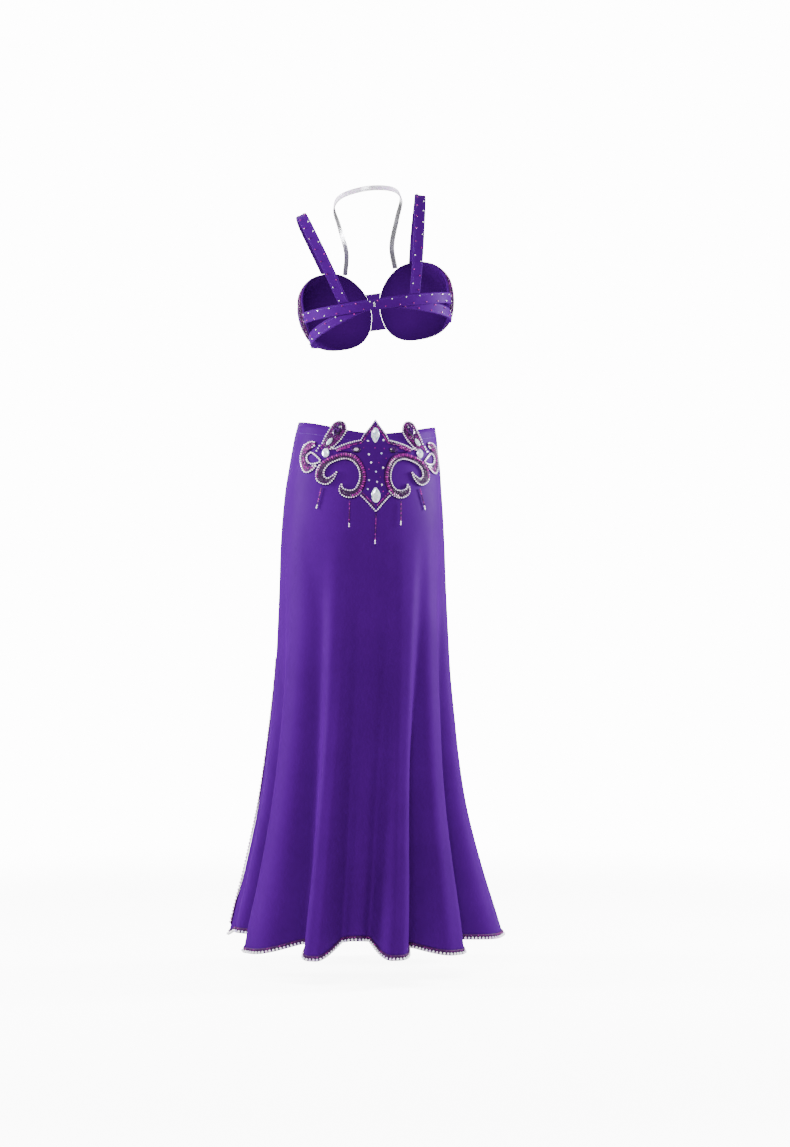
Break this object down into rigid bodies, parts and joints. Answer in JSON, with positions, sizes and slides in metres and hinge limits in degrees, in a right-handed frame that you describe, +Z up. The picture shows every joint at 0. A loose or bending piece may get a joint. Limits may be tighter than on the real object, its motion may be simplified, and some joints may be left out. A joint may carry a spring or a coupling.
{
  "type": "belly dance dress",
  "caption": "Two-piece belly dance dress: padded bra top with back bands, straps and a crystal halter, and a flared hip skirt with a beaded scroll applique and a side slit.",
  "frame": {"origin": "middle of the skirt's waist opening, where the wearer's hips hold the dress", "axes": "+Z up, towards the bra top; the dress faces -Y, its back is +Y, and the wearer's left is +X"},
  "size_m": [0.5092, 0.4092, 1.4009],
  "materials": {
    "satin": "violet stretch cloth with a soft satin sheen",
    "stone_trim": "dark plum band set with small stones",
    "beads": "glossy plum and fuchsia beads",
    "clear_stone": "faceted clear stones with a rainbow coating",
    "dark_stone": "faceted dark plum stones",
    "hook_metal": "bright wire"
  },
  "bodies": {
    "root": {"skirt_back": "satin", "skirt_front": "satin", "hem_trim_back": "stone_trim", "hem_trim_front": "stone_trim", "slit_trim_back": "stone_trim", "slit_trim_front": "stone_trim", "applique_center": "satin", "scroll_left": "beads", "scroll_right": "beads", "petal_left": "beads", "petal_right": "beads", "wing_left": "beads", "wing_right": "beads", "wing_loop_left": "clear_stone", "wing_loop_right": "clear_stone", "oval_dark_left": "dark_stone", "oval_dark_right": "dark_stone", "oval_clear_left": "clear_stone", "oval_clear_right": "clear_stone", "pear_dark_left": "dark_stone", "pear_dark_right": "dark_stone", "navette_left": "clear_stone", "navette_right": "clear_stone", "pear_top": "clear_stone", "pear_bottom": "clear_stone", "dangle_1": "beads", "dangle_2": "beads", "dangle_3": "beads", "dangle_4": "beads", "dangle_5": "beads", "back_band_left": "satin", "back_band_right": "satin", "lower_band_left": "satin", "lower_band_right": "satin", "band_hook": "hook_metal", "bridge": "satin", "halter_band": "clear_stone", "halter_arm_left": "clear_stone", "halter_arm_right": "clear_stone", "strap_left": "satin", "strap_right": "satin", "cup_left": "satin", "cup_right": "satin", "cup_edge_left": "beads", "cup_edge_right": "beads"}
  },
  "joints": []
}
